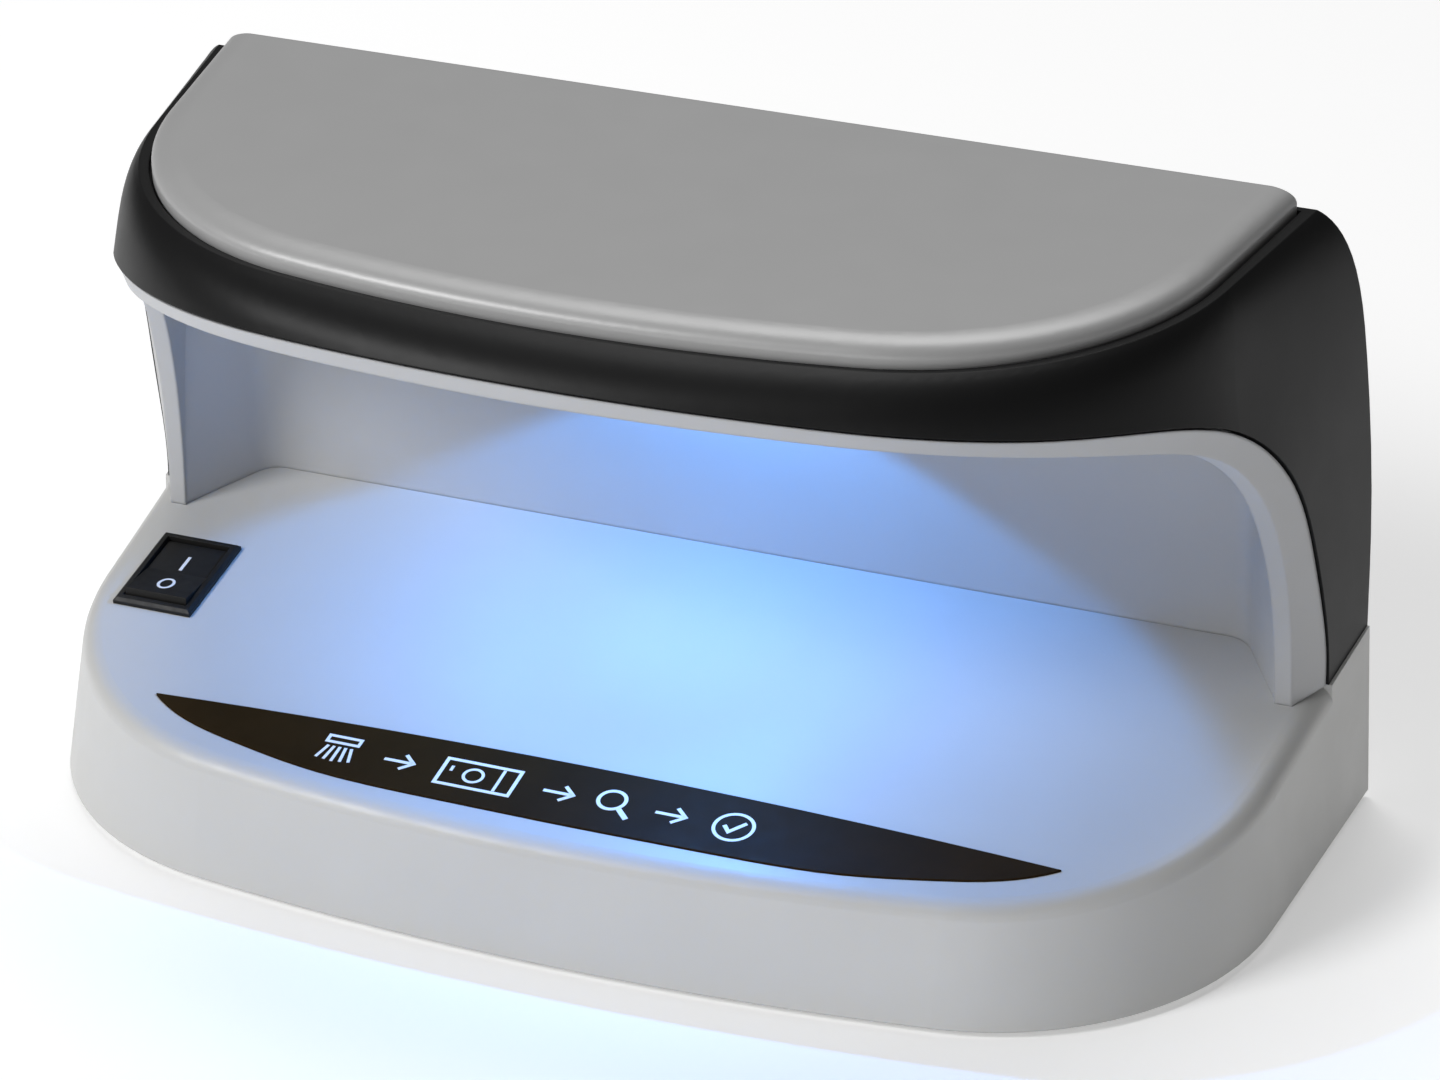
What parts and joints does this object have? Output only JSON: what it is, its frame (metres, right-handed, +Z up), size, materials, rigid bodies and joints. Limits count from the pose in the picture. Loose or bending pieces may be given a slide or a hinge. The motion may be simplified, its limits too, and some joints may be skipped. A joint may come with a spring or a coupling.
{
  "type": "counterfeit bill detector",
  "caption": "Counter-top ultraviolet note viewer: sloping platform under an arched hood with a roof lamp, switched by a rocker beside the platform.",
  "frame": {"origin": "centre of the overall footprint at table height, under the rubber feet", "axes": "+X to the customer's right along the wide side, +Y from the open front towards the back wall, +Z up"},
  "size_m": [0.1994, 0.0896, 0.1029],
  "materials": {
    "base_plastic": "fine matt moulded plastic",
    "hood_black": "satin black moulded plastic",
    "liner_grey": "fine matt moulded plastic",
    "cover_grey": "satin moulded plastic",
    "label_film": "printed polycarbonate film",
    "plate_black": "matt moulded plastic",
    "foot_rubber": "soft rubber",
    "screw_steel": "zinc plated",
    "lamp_glass": "clear filter window",
    "reflector_metal": "vacuum metallised",
    "circuit_board": "solder mask",
    "emitter": "clear dome over a lit diode",
    "connector_white": "nylon",
    "can_aluminium": "bare can",
    "ferrite": "sintered ferrite",
    "chip_black": "epoxy",
    "inlet_black": "moulded",
    "pin_plated": "nickel plated",
    "wire_insulation": "soft insulation",
    "switch_black": "moulded nylon",
    "plunger_nylon": "nylon",
    "spring_steel": "spring wire",
    "contact_brass": "tinned"
  },
  "bodies": {
    "unit": {"base_shell": "base_plastic", "bottom_plate": "plate_black", "rubber_feet": "foot_rubber", "base_screws": "screw_steel", "hood": "hood_black", "hood_screws": "screw_steel", "chamber_liner": "liner_grey", "liner_screws": "screw_steel", "top_cover": "cover_grey", "label_plate": "label_film", "lamp_window": "lamp_glass", "lamp_reflector": "reflector_metal", "led_board": "circuit_board", "led_emitters": "emitter", "led_connector": "connector_white", "led_board_screws": "screw_steel", "driver_board": "circuit_board", "driver_capacitor": "can_aluminium", "driver_inductor": "ferrite", "driver_chip": "chip_black", "board_headers": "connector_white", "board_screws": "screw_steel", "power_inlet": "inlet_black", "power_inlet_pin": "pin_plated", "lamp_harness": "wire_insulation", "switch_harness": "wire_insulation", "inlet_harness": "wire_insulation", "switch_housing": "switch_black", "switch_terminals": "contact_brass"},
    "rocker": {"switch_rocker": "switch_black", "switch_plunger": "plunger_nylon", "switch_spring": "spring_steel"},
    "contact": {"switch_contact": "contact_brass"}
  },
  "joints": [
    {"name": "rocker_tilt", "type": "hinge", "parent": "unit", "child": "rocker", "pos_m": [-0.0834, 0.00528, 0.02313], "axis": [1, 0, 0], "range_deg": [0, 12]},
    {"name": "contact_tilt", "type": "hinge", "parent": "unit", "child": "contact", "pos_m": [-0.0834, 0.00615, 0.01694], "axis": [1, 0, 0], "range_deg": [-8, 0]}
  ],
  "couplings": [
    {"joint": "contact_tilt", "follows": "rocker_tilt", "ratio": -0.66667}
  ]
}
